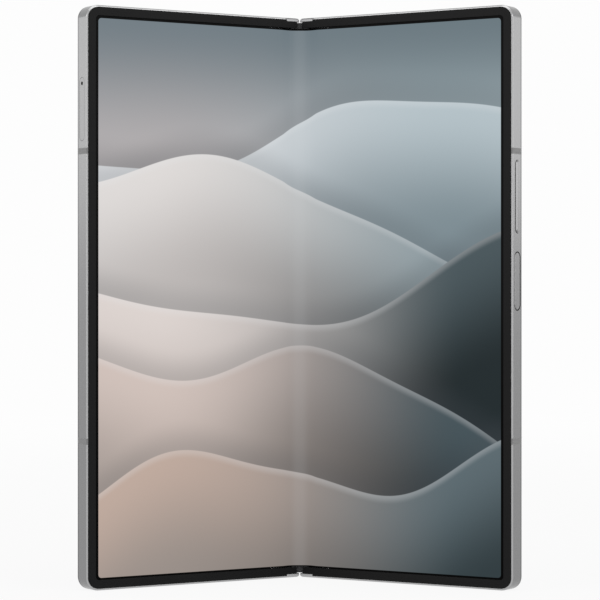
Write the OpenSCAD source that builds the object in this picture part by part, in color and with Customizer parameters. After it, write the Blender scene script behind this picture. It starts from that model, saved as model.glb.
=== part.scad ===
// Book-style foldable phone, standing on its lower edges and part open.
// Each half is drawn flat on the right, with x from the fold plane, y from the screen
// face to the back and z up the long side, and is then folded about its own axis.
// Origin: centre of the footprint, on the surface that the phone stands on.

/* [Body] */
// Reach of each half from the fold plane when the phone is flat
half_w = 66.3; // [64:0.1:70]
// Height of the phone
body_h = 153.5; // [150:0.5:158]
// Thickness of each half
half_t = 5.6; // [5.6:0.1:6.2]
// Radius of the outer corners
corner_r = 3.5; // [3:0.1:5]
// Thickness of the frame's side walls
wall = 1.4; // [1.2:0.1:1.6]
// Chamfer round the frame's front edges
edge_chamfer = 0.3; // [0.2:0.05:0.4]
// Chamfer round the frame's back edges
back_chamfer = 0.5; // [0.3:0.05:0.6]

/* [Fold] */
// Angle that each half is turned from flat in the pose built here
fold_angle = 32.3; // [0:0.1:90]
// Distance of each fold axis from the fold plane
axis_x = 1.73; // [1.7:0.01:1.8]
// Depth of the fold axes behind the screen face
axis_y = 1.27; // [1.25:0.01:1.3]
// Radius of the spine cover about each fold axis
spine_r = 3.53; // [3.5:0.01:3.55]
// Thickness of the spine cover
spine_wall = 0.53; // [0.5:0.01:0.6]
// Turn of a wing plate for each degree of fold
wing_ratio = 0.139; // [0.13:0.001:0.14]

/* [Screen] */
// Flat half width of the stretch of screen that bends
fold_zone = 6.5; // [6:0.1:7]
// Depth of the screen's face behind the frame's front
screen_front = 0.1; // [0.1:0.01:0.12]
// Thickness of the folding screen
screen_t = 0.4; // [0.35:0.01:0.4]
// Width of the frame's rim in front, outside the bezel trim
rim = 0.5; // [0.45:0.05:0.7]
// Width of the bezel trim with the gap round it
trim_w = 2.25; // [2:0.05:2.4]
// Height of the bezel trim above the frame's front
trim_proud = 0.4; // [0.3:0.01:0.4]

/* [Keys and ports] */
// Lowest point of the volume key
volume_z = 93.7; // [92:0.1:95]
// Length of the volume key
volume_len = 19.1; // [18:0.1:20]
// Lowest point of the side key
power_z = 73.6; // [72:0.1:75]
// Length of the side key
power_len = 15; // [14:0.1:16]
// Lowest point of the card tray
tray_z = 117.9; // [117:0.1:119]
// Length of the card tray's face
tray_len = 16.6; // [16:0.1:17]
// Depth of the middle of the keys and the card tray
edge_y = 2.7; // [2.6:0.05:2.8]
// Distance of the charging port from the fold plane
port_x = 33.2; // [32:0.1:35]

/* [Cameras] */
// Distance of the camera island's middle from the fold plane
island_x = 54.4; // [53:0.1:55]
// Height of the lowest lens
lens_low_z = 111; // [110:0.5:112]
// Distance from lens to lens
lens_pitch = 14.5; // [14.3:0.1:14.8]
// Radius of each lens ring
ring_r = 6.5; // [6:0.1:6.8]

/* [Hidden] */

round_fn = 48;
eps = 0.01;
gap = 0.05;

// Screen stack, mid plate and back panel, as depths behind the frame's front
screen_back = screen_front + screen_t;
plate_back = screen_back + 0.5;
back_seat = half_t - 0.5;
cell_front = plate_back + 0.1;

// Inner frame lines
inner_x = 0.15;
fold_corner_r = 1.2;
rail_x = 1.9;
bay_x = 5.7;
step_x = 9.7;
step_t = 0.6;
recess_front = 1.95;
recess_back = 2.45;
end_wall = 0.95;
end_wall_thick = 1.9;
screen_end = 3;
notch_x = 4.8;
notch_step = 0.45;
trim_gap = 0.08;
trim_end_x = 1.65;
trim_end_lean = 0.25;

// Spine
spine_z = 1.1;
spine_inner_r = spine_r - spine_wall;
spine_edge_y = 2.2;
cap_front = 1.7;
cradle_front = 2.05;
cradle_r = spine_inner_r - 0.03;
cradle_len = 14;
cradle_zs = [17, body_h / 2, body_h - 17];
arm_len = 4;
arm_gap = 0.1;
arm_r_in = 2;
arm_r_out = 2.6;
arm_front = 2.5;
arm_back = 3.2;
arm_offset = 1.9;
foot_x = 10.45;
foot_end = 14.2;
foot_screw_x = 12.4;
pivot_r = 0.5;
boss_r = 1.05;

// Sync gears: a toothed sector on each half and two idlers between them
gear_r = axis_x / 2;
gear_teeth = 10;
gear_module = 2 * gear_r / gear_teeth;
gear_tip = gear_r + 0.88 * gear_module;
gear_root = gear_r - 1.15 * gear_module;
gear_w = 2;
gear_zs = [33, body_h - 35];
idler_y = axis_y + axis_x * sin(60);
idler_turn_left = 33 - fold_angle;
idler_turn_right = 21 + fold_angle;
fold_shaft_r = 0.38;
gear_pin_r = 0.34;
housing_t = 1;

// Wing plates
wing_x = 9.2;
wing_y = 1;
wing_end = 2.6;
wing_turn = fold_angle * wing_ratio;

// Keys, tray and antenna breaks
volume_w = 1.8;
power_w = 3;
tray_w = 2.6;
key_proud = 0.35;
volume_clear = 0.12;
power_clear = 0.2;
flange_t = 0.45;
flange_w = 2.5;
flange_floor = 64.3;
volume_flange_x = 65.1;
power_flange_x = 65.3;
dome_r = 0.9;
dome_clear = 0.3;
switch_face = 63.7;
break_zs = [38.3, 114.4];
break_w = 1.6;
pack_x = 15.5;
magnet_zs = [13, 40, 58, 138];

// Places the footprint's middle on the Y origin
foot_front = axis_y - (half_w - rim - trim_gap - axis_x) * sin(fold_angle)
    - (axis_y + trim_proud) * cos(fold_angle);
foot_back = axis_y + (axis_x - inner_x - back_chamfer) * sin(fold_angle)
    + (half_t - axis_y) * cos(fold_angle);
depth_shift = -(foot_front + foot_back) / 2;

// ---- Placing ----

// Puts what is drawn about the fold plane into the standing phone
module in_spine() {
    translate([0, depth_shift, 0]) children();
}

// Folds what is drawn as a flat right half: side 1 is the right half, -1 the left
module in_half(side) {
    in_spine()
        mirror([side < 0 ? 1 : 0, 0, 0])
            translate([axis_x, axis_y, 0])
                rotate([0, 0, -fold_angle])
                    translate([-axis_x, -axis_y, 0])
                        children();
}

// Both ends of the phone, drawn at the lower one
module both_ends() {
    children();
    translate([0, 0, body_h]) mirror([0, 0, 1]) children();
}

// ---- Shapes ----

// Extrudes an outline in x and z from depth y0 to y1
module slab(y0, y1) {
    translate([0, y1, 0]) rotate([90, 0, 0]) linear_extrude(y1 - y0) children();
}

// Extrudes a section in x and y from height z0 to z1
module column(z0, z1) {
    translate([0, 0, z0]) linear_extrude(z1 - z0) children();
}

module block(x0, x1, y0, y1, z0, z1) {
    translate([x0, y0, z0]) cube([x1 - x0, y1 - y0, z1 - z0]);
}

module rounded(x0, x1, z0, z1, r) {
    translate([x0 + r, z0]) square([x1 - x0 - 2 * r, z1 - z0]);
    translate([x0, z0 + r]) square([x1 - x0, z1 - z0 - 2 * r]);
    for (x = [x0 + r, x1 - r], z = [z0 + r, z1 - r])
        translate([x, z]) circle(r, $fn = round_fn);
}

// Outline of a half, with small corners at the fold and large ones outside
module half_outline(inset, r_fold, r_out) {
    x0 = inner_x + inset;
    x1 = half_w - inset;
    z1 = body_h - inset;
    translate([x0 + r_fold, inset]) square([x1 - x0 - r_fold - r_out, z1 - inset]);
    translate([x0, inset + r_fold]) square([r_fold + eps, z1 - inset - 2 * r_fold]);
    translate([x1 - r_out - eps, inset + r_out]) square([r_out + eps, z1 - inset - 2 * r_out]);
    for (z = [inset + r_fold, z1 - r_fold]) translate([x0 + r_fold, z]) circle(r_fold, $fn = 32);
    for (z = [inset + r_out, z1 - r_out]) translate([x1 - r_out, z]) circle(r_out, $fn = round_fn);
}

// Slot with round ends in the outer edge, seen from the side: length along z
module edge_slot(x0, x1, mid_y, width, z0, len) {
    for (z = [z0 + width / 2, z0 + len - width / 2])
        translate([x0, mid_y, z]) rotate([0, 90, 0]) cylinder(x1 - x0, r = width / 2, $fn = round_fn);
    block(x0, x1, mid_y - width / 2, mid_y + width / 2, z0 + width / 2, z0 + len - width / 2);
}

// Round bar along the depth of the phone
module depth_rod(x, z, y0, y1, r) {
    translate([x, y0, z]) rotate([-90, 0, 0]) cylinder(y1 - y0, r = r, $fn = round_fn);
}

// Round bar along the height of the phone
module height_rod(x, y, z0, z1, r) {
    translate([x, y, z0]) cylinder(z1 - z0, r = r, $fn = round_fn);
}

module screw(x, z, y0, y_head, shank_r, head_r, head_t) {
    difference() {
        union() {
            depth_rod(x, z, y0, y_head, shank_r);
            depth_rod(x, z, y_head, y_head + head_t, head_r);
        }
        for (turn = [0, 90])
            translate([x, y_head + head_t, z]) rotate([0, turn, 0])
                cube([head_r * 1.1, head_t, head_r * 0.3], center = true);
    }
}

// ---- Frames ----

// The chamfered bar of metal that a frame is milled from
module frame_blank() {
    hull() {
        slab(edge_chamfer, half_t - back_chamfer) half_outline(0, fold_corner_r, corner_r);
        slab(0, edge_chamfer)
            half_outline(edge_chamfer, fold_corner_r - edge_chamfer, corner_r - edge_chamfer);
        slab(half_t - back_chamfer, half_t)
            half_outline(back_chamfer, fold_corner_r - back_chamfer, corner_r - back_chamfer);
    }
}

// What both frames have cut out of them
module frame_pockets() {
    // Seat of the bezel trim and pocket of the screen
    slab(-1, screen_front) trim_outline(trim_gap);
    slab(-1, screen_back)
        rounded(-2, half_w - 1.3, end_wall_thick, body_h - end_wall_thick, 2);
    // Hollow behind the mid plate
    slab(plate_back, back_seat + eps)
        rounded(step_x + step_t, half_w - wall, wall + 0.1, body_h - wall - 0.1, 2);
    slab(recess_back, back_seat + eps)
        translate([bay_x + step_t, wall + 0.1])
            square([step_x - bay_x + 1, body_h - 2 * wall - 0.2]);
    // Bay of the wing plate
    block(bay_x - 1, step_x, -1, recess_front, end_wall_thick, body_h - end_wall_thick);
    // Bay of the spine, behind which a thin rail stays
    block(-1, bay_x, -1, back_seat - 0.05, end_wall, body_h - end_wall);
    block(rail_x, bay_x, -1, back_seat + eps, end_wall, body_h - end_wall);
    // Seat of the back panel
    slab(back_seat, half_t + 1)
        rounded(rail_x, half_w - 0.95, 0.95, body_h - 0.95, corner_r - 0.95);
    // Round front corners at the fold, which roll past each other
    column(-1, body_h + 1)
        difference() {
            translate([-1, -1]) square([1 + axis_x, 1 + axis_y]);
            translate([axis_x, axis_y]) circle(1.6, $fn = round_fn);
        }
    both_ends() {
        height_rod(axis_x, axis_y, 0.45, end_wall + 1, pivot_r + 0.02);
        height_rod(wing_x, wing_y, 1, end_wall_thick + 1, 0.28);
    }
    for (z = break_zs) block(half_w - wall - 1, half_w + 1, -1, half_t + 1, z, z + break_w);
    for (z = cradle_zs, dz = [-4, 4])
        depth_rod(foot_screw_x, z + dz, screen_back - 1, plate_back + 1, 0.56);
    for (z = flex_zs)
        block(bay_x - 1, bay_x + step_t + 1, recess_back, 3.2, z - 0.6, z + flex_w + 0.6);
}

// The gaps in a bulkhead that a half's own hinge arms pass
module arm_windows(side) {
    for (z = cradle_zs)
        block(bay_x - 1, bay_x + step_t + 1, recess_back, arm_back + 0.1,
            arm_low(z, side) - 0.1, arm_low(z, side) + arm_len + 0.1);
    for (z = gear_zs)
        block(bay_x - 1, bay_x + step_t + 1, recess_back, arm_back + 0.1, z - 0.1, z + gear_w + 0.1);
}

// Slot of a key through the wall, and the pocket of its flange behind
module key_opening(width, z0, len, clear) {
    edge_slot(flange_floor, half_w + 1, edge_y, width + 2 * clear, z0 - clear, len + 2 * clear);
    block(flange_floor, power_flange_x + gap, edge_y - flange_w / 2 - 0.1,
        edge_y + flange_w / 2 + 0.1, z0 - 0.9, z0 + len + 0.9);
}

module left_frame() {
    color("silver") in_half(-1) difference() {
        frame_blank();
        frame_pockets();
        arm_windows(-1);
        edge_slot(half_w - 4, half_w + 1, edge_y, tray_w + 0.12, tray_z - 0.06, tray_len + 0.12);
        for (i = [0:4])
            height_rod(38 + 2.4 * i, half_t / 2, body_h - 3, body_h + 1, 0.55);
        height_rod(20, half_t / 2, -1, 3, 0.5);
    }
}

module right_frame() {
    color("silver") in_half(1) difference() {
        frame_blank();
        frame_pockets();
        arm_windows(1);
        key_opening(volume_w, volume_z, volume_len, volume_clear);
        key_opening(power_w, power_z, power_len, power_clear);
        translate([port_x, port_y, -1]) linear_extrude(4)
            stadium(9.1, 3.32);
        for (i = [0:5]) height_rod(43 + 2.4 * i, half_t / 2, -1, 3, 0.6);
        height_rod(22, half_t / 2, -1, 3, 0.4);
        height_rod(46, half_t / 2, body_h - 3, body_h + 1, 0.4);
        depth_rod(inner_camera_x, inner_camera_z, screen_back - 1, plate_back + 1, 2.6);
    }
}

// Plastic filling of a frame's antenna gaps
module antenna_breaks(side) {
    color("darkgray") in_half(side) for (z = break_zs)
        difference() {
            intersection() {
                frame_blank();
                block(half_w - wall, half_w + 1, -1, half_t + 1, z, z + break_w);
            }
            slab(-1, screen_front) trim_outline(trim_gap);
            slab(-1, screen_back)
                rounded(-2, half_w - 1.3, end_wall_thick, body_h - end_wall_thick, 2);
            slab(back_seat, half_t + 1)
                rounded(rail_x, half_w - 0.95, 0.95, body_h - 0.95, corner_r - 0.95);
        }
}

module left_antenna_breaks() antenna_breaks(-1);
module right_antenna_breaks() antenna_breaks(1);

// ---- Folding screen ----

// Outline of the bezel trim, grown by clear for its seat. Its upper end leans in.
module trim_outline(clear) {
    outer = rim - clear + trim_gap;
    end_x = trim_end_x - clear;
    difference() {
        intersection() {
            half_outline(outer, 0.3, corner_r - outer);
            polygon([[end_x, 0], [half_w, 0], [half_w, body_h], [end_x, body_h],
                [end_x, body_h - rim - notch_step], [end_x - trim_end_lean, body_h - rim - trim_w - 0.2],
                [end_x - trim_end_lean, body_h / 2], [end_x, body_h / 2]]);
        }
        rounded(-8, half_w - rim - trim_w - clear, rim + trim_w + 0.2 + clear,
            body_h - rim - trim_w - 0.2 - clear, 1);
        for (z = [-1, body_h - rim - notch_step + clear])
            translate([-1, z]) square([notch_x + 1 - clear, 1 + rim + notch_step - clear]);
    }
}

module bezel_trim(side) {
    color([0.13, 0.13, 0.14]) in_half(side) slab(-trim_proud, screen_front) trim_outline(0);
}

module left_bezel_trim() bezel_trim(-1);
module right_bezel_trim() bezel_trim(1);

module display_panel(side) {
    color([0.55, 0.6, 0.64]) in_half(side) slab(screen_front, screen_back) {
        translate([fold_zone, screen_end]) square([step_x - fold_zone + 1, body_h - 2 * screen_end]);
        rounded(step_x + 0.05, half_w - 1.35, end_wall_thick + 0.05, body_h - end_wall_thick - 0.05, 1.9);
    }
}

module left_display_panel() display_panel(-1);
module right_display_panel() display_panel(1);

function ease(t) = t <= 0 ? 0 : t >= 1 ? 1 : t * t * (3 - 2 * t);

// Place of a point of the bending stretch, drawn flat at x and y, when folded
function bent(x, y) =
    let(side = x < 0 ? -1 : 1,
        turn = -fold_angle * ease(abs(x) / fold_zone),
        dx = abs(x) - axis_x,
        dy = y - axis_y)
    [side * (axis_x + dx * cos(turn) - dy * sin(turn)), axis_y + dx * sin(turn) + dy * cos(turn)];

module display_fold_zone() {
    stations = [for (i = [-13:13]) fold_zone * i / 13];
    front = [for (x = stations) bent(x, screen_front)];
    back = [for (i = [26:-1:0]) bent(stations[i], screen_back)];
    color([0.6, 0.64, 0.66]) in_spine()
        column(screen_end, body_h - screen_end) polygon(concat(front, back));
}

// ---- Spine ----

// Round-ended section about both fold axes
module spine_section(r) {
    for (side = [-1, 1]) translate([side * axis_x, axis_y]) circle(r, $fn = round_fn);
    translate([-axis_x, axis_y - r]) square([2 * axis_x, 2 * r]);
}

// Where a half's arm lies along the spine, from the middle of its cradle
function arm_low(z, side) = side < 0 ? z - arm_offset - arm_len : z + arm_offset;

module arm_slots(x0, x1, y0, y1) {
    for (side = [-1, 1]) mirror([side < 0 ? 1 : 0, 0, 0]) {
        for (z = cradle_zs)
            block(x0, x1, y0, y1, arm_low(z, side) - arm_gap, arm_low(z, side) + arm_len + arm_gap);
        for (z = gear_zs) block(x0, x1, y0, y1, z - arm_gap, z + gear_w + arm_gap);
    }
}

module spine_cover() {
    color("silver") in_spine() difference() {
        column(spine_z, body_h - spine_z) difference() {
            spine_section(spine_r);
            spine_section(spine_inner_r);
            translate([-8, -8]) square([16, 8 + spine_edge_y]);
        }
        arm_slots(3.6, 6, 1, 3.4);
        for (z = cradle_zs, dz = [-6.4, 6.4]) depth_rod(0, z + dz, 4, 4.6, 0.32);
    }
}

module hinge_cradles() {
    color("gray") in_spine() for (z = cradle_zs) difference() {
        column(z - cradle_len / 2, z + cradle_len / 2) difference() {
            spine_section(cradle_r);
            translate([-8, -8]) square([16, 8 + cradle_front]);
        }
        for (side = [-1, 1]) {
            translate([side * axis_x, axis_y, arm_low(z, side) - arm_gap]) difference() {
                cylinder(arm_len + 2 * arm_gap, r = arm_r_out + 0.05, $fn = round_fn);
                translate([0, 0, -1])
                    cylinder(arm_len + 2 + 2 * arm_gap, r = arm_r_in - 0.05, $fn = round_fn);
            }
            translate([0, 0, arm_low(z, side) - arm_gap]) mirror([side < 0 ? 1 : 0, 0, 0])
                block(3.1, 6, 1, 3.6, 0, arm_len + 2 * arm_gap);
        }
        for (dz = [-6.4, 6.4]) depth_rod(0, z + dz, 3.2, 5, 0.3);
    }
}

module spine_screws() {
    color("dimgray") in_spine() for (z = cradle_zs, dz = [-6.4, 6.4])
        depth_rod(0, z + dz, 3.25, 4.6, 0.29);
}

module sync_gear_housings() {
    color("gray") in_spine() for (z = gear_zs) {
        difference() {
            for (low = [z - gap - housing_t, z + gear_w + gap]) column(low, low + housing_t) {
                difference() {
                    spine_section(cradle_r);
                    translate([-8, -8]) square([16, 8 + cradle_front]);
                }
                for (side = [-1, 1]) {
                    translate([side * axis_x, axis_y]) circle(0.7, $fn = round_fn);
                    translate([side * axis_x - 0.55, axis_y]) square([1.1, 1]);
                }
            }
            for (side = [-1, 1]) {
                height_rod(side * axis_x, axis_y, z - 2, z + gear_w + 2, fold_shaft_r + 0.03);
                height_rod(side * gear_r, idler_y, z - 2, z + gear_w + 2, gear_pin_r + 0.01);
            }
        }
        block(-axis_x, axis_x, 3.9, 4.2, z - gap - housing_t, z + gear_w + gap + housing_t);
    }
}

module sync_gear_pins() {
    color("dimgray") in_spine() for (z = gear_zs, side = [-1, 1])
        height_rod(side * gear_r, idler_y, z - gap - housing_t, z + gear_w + gap + housing_t,
            gear_pin_r);
}

// One gear tooth pointing along x, a little slimmer than its space
module gear_tooth() {
    profile = [[gear_root - 0.1, 13], [gear_root + 0.04, 11.5], [gear_r, 7.4], [gear_tip, 3.1]];
    polygon(concat(
        [for (p = profile) [p[0] * cos(p[1]), p[0] * sin(p[1])]],
        [for (i = [3:-1:0]) [profile[i][0] * cos(profile[i][1]), -profile[i][0] * sin(profile[i][1])]]));
}

module idler(side, turn) {
    color("dimgray") in_spine() for (z = gear_zs)
        translate([side * gear_r, idler_y, 0]) column(z + 0.02, z + gear_w - 0.02)
            difference() {
                union() {
                    circle(gear_root, $fn = round_fn);
                    for (i = [0:gear_teeth - 1]) rotate(turn + 360 * i / gear_teeth) gear_tooth();
                }
                circle(gear_pin_r + 0.03, $fn = round_fn);
            }
}

module sync_gear_left() idler(-1, idler_turn_left);
module sync_gear_right() idler(1, idler_turn_right);

// Dark blocks that close the spine's ends and carry the pivot pins
module hinge_end_caps() {
    color([0.25, 0.25, 0.26]) in_spine() both_ends() difference() {
        column(spine_z, screen_end - 0.1) {
            difference() {
                spine_section(cradle_r);
                translate([-8, -8]) square([16, 8 + cap_front]);
            }
            for (side = [-1, 1]) translate([side * axis_x, axis_y]) circle(boss_r, $fn = round_fn);
        }
        for (side = [-1, 1])
            height_rod(side * axis_x, axis_y, 0, screen_end + 1, pivot_r + 0.03);
    }
}

// Plate behind the middle of the folding screen
module display_support_plate() {
    low = housing_t + gap + 0.2;
    color("gray") in_spine() difference() {
        block(-2, 2, screen_back + 0.05, screen_back + 0.35, screen_end + 0.2, body_h - screen_end - 0.2);
        for (z = gear_zs, side = [-1, 1]) mirror([side < 0 ? 1 : 0, 0, 0])
            block(0.7, 3, 0, axis_y, z - low, z + gear_w + low);
    }
}

// Coil springs between the end cradles and the gear housings
spring_turns = 7;
spring_r = 0.7;
wire_r = 0.14;
spring_len = 7.9;

module coil(z0, pitch) {
    steps = 12 * spring_turns;
    sides = 6;
    points = [for (i = [0:steps], k = [0:sides - 1])
        let(a = 30 * i, b = 360 * k / sides, r = spring_r + wire_r * cos(b))
        [r * cos(a), r * sin(a), z0 + pitch * i / 12 + wire_r * sin(b)]];
    walls = [for (i = [0:steps - 1], k = [0:sides - 1], half = [0, 1])
        let(a = i * sides + k, b = i * sides + (k + 1) % sides)
        half == 0 ? [a, b, b + sides] : [a, b + sides, a + sides]];
    lids = concat([for (k = [1:sides - 2]) [0, k + 1, k]],
        [for (k = [1:sides - 2]) [steps * sides, steps * sides + k, steps * sides + k + 1]]);
    polyhedron(points, concat(walls, lids));
}

module hinge_friction_springs() {
    low = cradle_zs[0] + cradle_len / 2 + 0.02;
    high = cradle_zs[2] - cradle_len / 2 - 0.02 - spring_len;
    color("silver") in_spine() for (z = [low, high], side = [-1, 1])
        translate([side * 1.3, 3.1, z]) coil(wire_r, (spring_len - 2 * wire_r) / spring_turns);
}

// ---- Hinge arms ----

module hinge_arm_section() {
    difference() {
        translate([axis_x, axis_y]) circle(arm_r_out, $fn = round_fn);
        translate([axis_x, axis_y]) circle(arm_r_in, $fn = round_fn);
        translate([axis_x, axis_y])
            polygon([[0, 0], [-6, 6 * tan(20)], [-6, -6], [6, -6], [6, 6 * tan(32)]]);
    }
    arm_bar(3.25);
}

// Bar from the spine to the foot that is screwed on the mid plate
module arm_bar(x0) {
    polygon([[x0, arm_front], [foot_x, arm_front], [foot_x, plate_back], [foot_end, plate_back],
        [foot_end, arm_back], [x0 - 0.05, arm_back]]);
}

module sector_arm_section(first) {
    translate([axis_x, axis_y]) {
        circle(gear_root, $fn = round_fn);
        for (i = [0:3]) rotate(first + 36 * i) gear_tooth();
    }
    polygon([[1.9, 1.3], [2.05, 1.8], [2.05, arm_back], [3.3, arm_back], [3.3, arm_front],
        [2.55, arm_front], [2.5, 1.9], [2.35, 1.3]]);
    arm_bar(3.2);
}

module hinge_arms(side) {
    color("gray") in_half(side) difference() {
        union() {
            for (z = cradle_zs) column(arm_low(z, side), arm_low(z, side) + arm_len)
                hinge_arm_section();
            for (z = cradle_zs)
                block(foot_x, foot_end, plate_back, arm_back, z - 5.5, z + 5.5);
            for (z = gear_zs) {
                column(z + 0.02, z + gear_w - 0.02) sector_arm_section(side < 0 ? 111 : 93);
                height_rod(axis_x, axis_y, z - gap - housing_t, z + gear_w + gap + housing_t,
                    fold_shaft_r);
            }
        }
        for (z = cradle_zs, dz = [-4, 4]) {
            depth_rod(foot_screw_x, z + dz, 0, 4, 0.6);
            depth_rod(foot_screw_x, z + dz, 2.7, 4, 1.15);
        }
    }
}

module left_hinge_arms() hinge_arms(-1);
module right_hinge_arms() hinge_arms(1);

module hinge_pins(side) {
    color("dimgray") in_half(side) both_ends()
        height_rod(axis_x, axis_y, 0.5, screen_end - 0.15, pivot_r);
}

module left_hinge_pins() hinge_pins(-1);
module right_hinge_pins() hinge_pins(1);

// Plate that tips out of the screen's way as the half closes
module wing_plate(side) {
    color("gray") in_half(side) translate([wing_x, wing_y, 0]) rotate([0, 0, -wing_turn])
        translate([-wing_x, -wing_y, 0]) {
            column(screen_end + 0.2, body_h - screen_end - 0.2) {
                translate([wing_end, screen_back + 0.05]) square([wing_x - wing_end, 0.3]);
                translate([wing_x, wing_y]) circle(0.35, $fn = round_fn);
                translate([wing_x - 0.3, screen_back + 0.05]) square([0.3, 0.4]);
            }
            both_ends() height_rod(wing_x, wing_y, 1.1, screen_end + 0.5, 0.25);
        }
}

module left_wing_plate() wing_plate(-1);
module right_wing_plate() wing_plate(1);

// ---- Flex cables through the spine ----

flex_w = 7;
flex_zs = [50, 103];

// Place in the spine's frame of a point drawn on the flat right half
function folded(x, y) =
    let(dx = x - axis_x, dy = y - axis_y)
    [axis_x + dx * cos(fold_angle) + dy * sin(fold_angle),
        axis_y - dx * sin(fold_angle) + dy * cos(fold_angle)];

function mirrored(points) = [for (i = [len(points) - 1:-1:0]) [-points[i][0], points[i][1]]];

module ribbon(points, t) {
    last = len(points) - 1;
    edges = [for (i = [0:last])
        let(d = points[min(i + 1, last)] - points[max(i - 1, 0)], n = [-d[1], d[0]] / norm(d))
        [points[i] + n * t / 2, points[i] - n * t / 2]];
    polygon(concat([for (e = edges) e[0]], [for (i = [last:-1:0]) edges[i][1]]));
}

module hinge_flex_cables() {
    in_right = [folded(5.6, 2.8), folded(6.2, 2.8), folded(10, 2.8), folded(13.5, 2.8),
        folded(14.6, 2.6), folded(pack_x + 0.3, board_back + 0.1), folded(pack_x + 3, board_back + 0.1)];
    across = [[0.9, 3.55], [1.8, 3.25], [3.0, 2.7], [3.9, 2.2], [4.6, 1.8], [5.3, 1.1]];
    right_run = concat(across, in_right);
    color("orange") in_spine() for (z = flex_zs) column(z, z + flex_w)
        ribbon(concat(mirrored(right_run), [[0, 3.6]], right_run), 0.14);
}

// ---- Circuit boards and what is on them ----

board_front = 1.3;
board_back = 1.95;
cover_camera_x = 33;
cover_camera_z = body_h - 6.5;
inner_camera_x = 31;
inner_camera_z = body_h - 6.5;

module left_circuit_board() {
    color("darkgreen") in_half(-1) slab(board_front, board_back) difference() {
        union() {
            rounded(pack_x, 48.5, body_h - 43, body_h - 2.2, 1);
            rounded(pack_x, 20.5, 44, body_h - 41, 1);
        }
        translate([cover_camera_x, cover_camera_z]) circle(4, $fn = round_fn);
        for (x = [18, 46], z = [body_h - 40.5, body_h - 4.6])
            translate([x, z]) circle(0.6, $fn = round_fn);
    }
}

module main_circuit_board() {
    color("darkgreen") in_half(1) slab(board_front, board_back) difference() {
        union() {
            rounded(pack_x, 46, body_h - 56.5, body_h - 2.2, 1);
            rounded(pack_x, 62.6, body_h - 59.5, body_h - 51.5, 1);
            rounded(pack_x, 20.5, 44, body_h - 55, 1);
        }
        translate([inner_camera_x, inner_camera_z]) circle(3.4, $fn = round_fn);
        for (x = [18, 44], z = [body_h - 54.5, body_h - 4.6])
            translate([x, z]) circle(0.6, $fn = round_fn);
    }
}

module can(x0, x1, z0, z1, top) {
    slab(board_back, top - 0.15) rounded(x0, x1, z0, z1, 0.6);
    slab(top - 0.15, top) rounded(x0 - 0.2, x1 + 0.2, z0 - 0.2, z1 + 0.2, 0.8);
}

module shield_cans() {
    color("lightgray") in_half(1) {
        can(21, 42, body_h - 51, body_h - 34, 3.4);
        can(21, 32, body_h - 31, body_h - 14, 3.2);
        can(35, 43.5, body_h - 31, body_h - 16, 3.2);
    }
}

module screw_set(side, xs, zs) {
    color("dimgray") in_half(side) {
        for (z = cradle_zs, dz = [-4, 4])
            screw(foot_screw_x, z + dz, screen_back + 0.1, 2.7, 0.54, 1.1, 0.45);
        for (x = xs, z = zs) screw(x, z, plate_back, board_back, 0.54, 1.1, 0.4);
    }
}

module left_screws() screw_set(-1, [18, 46], [body_h - 40.5, body_h - 4.6]);
module right_screws() screw_set(1, [18, 44], [body_h - 54.5, body_h - 4.6]);

module battery(side, x0, x1, z0, z1) {
    color([0.2, 0.2, 0.22]) in_half(side) {
        slab(cell_front, 4.55) rounded(x0, x1, z0, z1, 1.2);
        slab(2, 3.4) rounded(x0 + 4, x0 + 16, z1 - 1, z1 + 1.6, 0.5);
    }
}

module left_battery() battery(-1, 21.5, 61, 30, body_h - 47);
module right_battery() battery(1, 21.5, 61, 27, body_h - 64);

// Flat winding of the wireless charger, on the battery
module charging_coil() {
    color("peru") in_half(1) for (i = [0:4])
        slab(4.6, 4.85) translate([41, 58]) difference() {
            circle(18.6 - 1.5 * i, $fn = 72);
            circle(17.5 - 1.5 * i, $fn = 72);
        }
}

module vibration_motor() {
    color("lightgray") in_half(-1) {
        depth_rod(30, 15, cell_front, 3.9, 5);
        slab(cell_front, 1.5) rounded(24, 36, 8, 12, 1);
    }
}

module earpiece_speaker() {
    color([0.2, 0.2, 0.2]) in_half(-1) difference() {
        union() {
            slab(2.5, 4.8) rounded(36.5, 49.5, body_h - 9.5, body_h - wall - 0.3, 1);
            slab(4.8, 5) rounded(38, 48, body_h - 8.5, body_h - 3, 0.8);
        }
        for (i = [0:4]) height_rod(38 + 2.4 * i, 3.6, body_h - 3, body_h, 0.5);
    }
}

module cover_camera() {
    color([0.1, 0.1, 0.12]) in_half(-1) difference() {
        union() {
            depth_rod(cover_camera_x, cover_camera_z, cell_front, 4.9, 2.5);
            slab(cell_front, 2.6) rounded(cover_camera_x - 2.7, cover_camera_x + 2.7,
                cover_camera_z - 2.7, cover_camera_z + 2.7, 0.4);
        }
        translate([cover_camera_x, 4.4, cover_camera_z]) rotate([-90, 0, 0])
            cylinder(0.51, r1 = 0.7, r2 = 1.7, $fn = round_fn);
    }
}

module inner_camera() {
    color([0.1, 0.1, 0.12]) in_half(1) difference() {
        union() {
            depth_rod(inner_camera_x, inner_camera_z, screen_back + 0.05, 4.2, 2.5);
            slab(2, 4.2) rounded(inner_camera_x - 3, inner_camera_x + 3,
                inner_camera_z - 3, inner_camera_z + 3, 0.4);
        }
        translate([inner_camera_x, screen_back + 0.04, inner_camera_z]) rotate([-90, 0, 0])
            cylinder(0.5, r1 = 1.7, r2 = 0.7, $fn = round_fn);
    }
}

module magnets(side) {
    color("darkgray") in_half(side) for (z = magnet_zs)
        slab(cell_front, 3.4) rounded(62.2, half_w - wall - 0.1, z, z + 11, 0.4);
}

module left_magnets() magnets(-1);
module right_magnets() magnets(1);

// ---- Back panels ----

module back_outline() {
    rounded(1.95, half_w - 1, 1, body_h - 1, corner_r - 1);
}

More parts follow.
